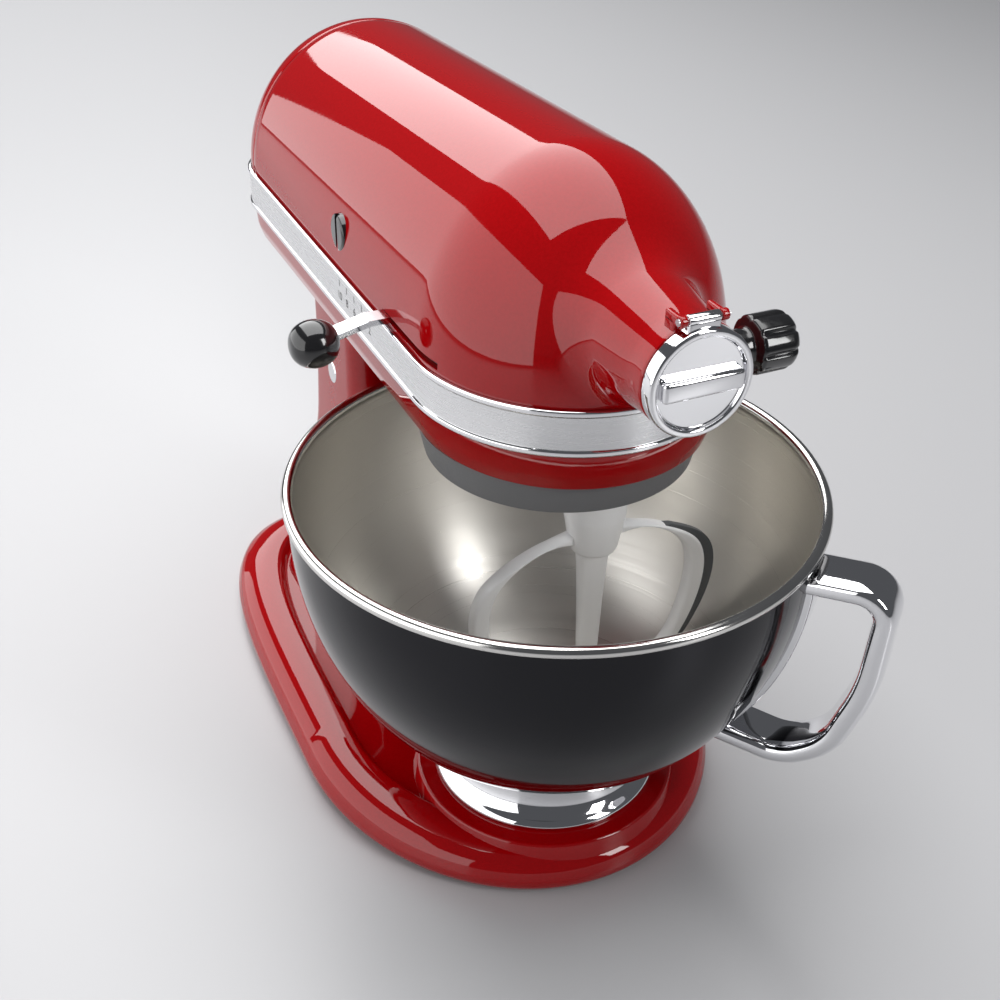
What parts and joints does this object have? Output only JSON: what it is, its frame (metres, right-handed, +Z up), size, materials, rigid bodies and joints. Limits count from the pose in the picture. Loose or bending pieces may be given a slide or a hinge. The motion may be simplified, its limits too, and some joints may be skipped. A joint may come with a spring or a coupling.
{
  "type": "stand mixer",
  "caption": "Tilt-head stand mixer with a steel bowl, flat beater, planetary drive, speed lever, hinged hub cover and bowl twist lock.",
  "frame": {"origin": "on the floor under the centre of the bowl, at the underside of the centre rubber foot, on the planetary axis", "axes": "+Z up; -Y towards the nose of the head and the attachment hub; +X to the right of a viewer facing the nose and looking towards +Y. The speed lever is on the -X side and the hub knob on the +X side."},
  "size_m": [0.2266, 0.3781, 0.3221],
  "materials": {
    "red_paint": "deep red high-gloss enamel",
    "dark_steel": "dark polished steel with a bright rolled rim",
    "chrome": "polished chrome",
    "satin_metal": "satin grey",
    "band_metal": "satin band with polished edges",
    "steel": "machined steel",
    "black_plastic": "glossy black",
    "black_rubber": "matt",
    "white_coat": "smooth white coating",
    "grey_silicone": "soft grey wiper",
    "lamination": "stacked laminations",
    "copper": "varnished winding wire",
    "bronze": "gear bronze",
    "carbon": "carbon graphite",
    "fan_plastic": "moulded plastic",
    "cast_metal": "die-cast, unpainted"
  },
  "bodies": {
    "base": {"base_casting": "red_paint", "pedestal_column": "red_paint", "rubber_feet": "black_rubber", "pedestal_bolts": "steel", "hinge_pin": "chrome", "hinge_set_screw": "steel", "height_adjust_screw": "steel", "bowl_clamp_plate": "chrome", "clamp_plate_screws": "steel"},
    "bowl": {"bowl_shell": "dark_steel", "bowl_foot_ring": "chrome", "bowl_handle": "chrome"},
    "lock": {"lock_bolt": "steel", "lock_knob": "black_plastic"},
    "head": {"upper_housing": "red_paint", "lower_housing": "red_paint", "rear_cover": "red_paint", "rear_cover_screw": "chrome", "trim_band": "band_metal", "drip_ring": "satin_metal", "ring_gear": "steel", "cord_inlet": "black_rubber", "brush_cap_left": "black_plastic", "brush_cap_right": "black_plastic", "brush_holders": "bronze", "carbon_brushes": "carbon", "brush_springs": "steel", "field_core": "lamination", "field_windings": "copper", "front_bearing_bracket": "cast_metal", "rear_bearing_bracket": "cast_metal", "motor_bearings": "steel", "speed_control_plate": "cast_metal", "shaft_bushes": "bronze", "hub_socket_sleeve": "steel", "hub_cap_hinge_pin": "steel"},
    "speed_lever": {"speed_lever_strap": "chrome", "speed_lever_knob": "black_plastic"},
    "hub_cover": {"hub_cap": "chrome"},
    "hub_clamp": {"hub_knob": "black_plastic", "hub_knob_screw": "steel"},
    "planetary": {"planetary_disc": "cast_metal", "center_shaft": "steel", "center_gear": "steel"},
    "beater": {"beater_shaft": "steel", "planet_pinion": "steel", "beater_pin": "steel", "beater_frame": "white_coat", "flex_edge": "grey_silicone"},
    "countershaft": {"countershaft": "steel", "worm_wheel": "bronze", "drive_pinion": "steel"},
    "armature": {"armature_shaft": "steel", "armature_core": "lamination", "armature_windings": "copper", "commutator": "copper", "motor_fan": "fan_plastic", "worm": "steel"},
    "hub_drive": {"hub_drive_shaft": "steel", "hub_drive_gear": "steel"}
  },
  "joints": [
    {"name": "head_tilt", "type": "hinge", "parent": "base", "child": "head", "pos_m": [0, 0.157, 0.16], "axis": [-1, 0, 0], "range_deg": [0, 45]},
    {"name": "head_lock", "type": "slide", "parent": "base", "child": "lock", "axis": [-1, 0, 0], "range_m": [0, 0.008]},
    {"name": "bowl_twist", "type": "hinge", "parent": "base", "child": "bowl", "pos_m": [0, 0, 0.025], "axis": [0, 0, 1], "range_deg": [0, 30]},
    {"name": "speed_lever_slide", "type": "slide", "parent": "head", "child": "speed_lever", "axis": [0, -1, 0], "range_m": [0, 0.042]},
    {"name": "hub_cover_hinge", "type": "hinge", "parent": "head", "child": "hub_cover", "pos_m": [0, -0.0945, 0.2933], "axis": [-1, 0, 0], "range_deg": [0, 95]},
    {"name": "hub_knob_turn", "type": "hinge", "parent": "head", "child": "hub_clamp", "pos_m": [0.03, -0.08, 0.271], "axis": [1, 0, 0], "range_deg": [0, 720]},
    {"name": "planetary_spin", "type": "hinge", "parent": "head", "child": "planetary", "pos_m": [0, 0, 0.205], "axis": [0, 0, 1], "continuous": true},
    {"name": "beater_spin", "type": "hinge", "parent": "planetary", "child": "beater", "pos_m": [0.0195, 0, 0.205], "axis": [0, 0, 1], "continuous": true},
    {"name": "countershaft_spin", "type": "hinge", "parent": "head", "child": "countershaft", "pos_m": [0.028, 0.04588, 0.25], "axis": [0, 0, 1], "continuous": true},
    {"name": "armature_spin", "type": "hinge", "parent": "head", "child": "armature", "pos_m": [0, 0.12, 0.262], "axis": [0, 1, 0], "continuous": true},
    {"name": "hub_drive_spin", "type": "hinge", "parent": "head", "child": "hub_drive", "pos_m": [0, -0.04, 0.271], "axis": [0, -1, 0], "continuous": true}
  ],
  "couplings": [
    {"joint": "beater_spin", "follows": "planetary_spin", "ratio": -2.625},
    {"joint": "countershaft_spin", "follows": "planetary_spin", "ratio": -3.7778},
    {"joint": "armature_spin", "follows": "planetary_spin", "ratio": 30.222},
    {"joint": "hub_drive_spin", "follows": "planetary_spin", "ratio": 2.5}
  ]
}
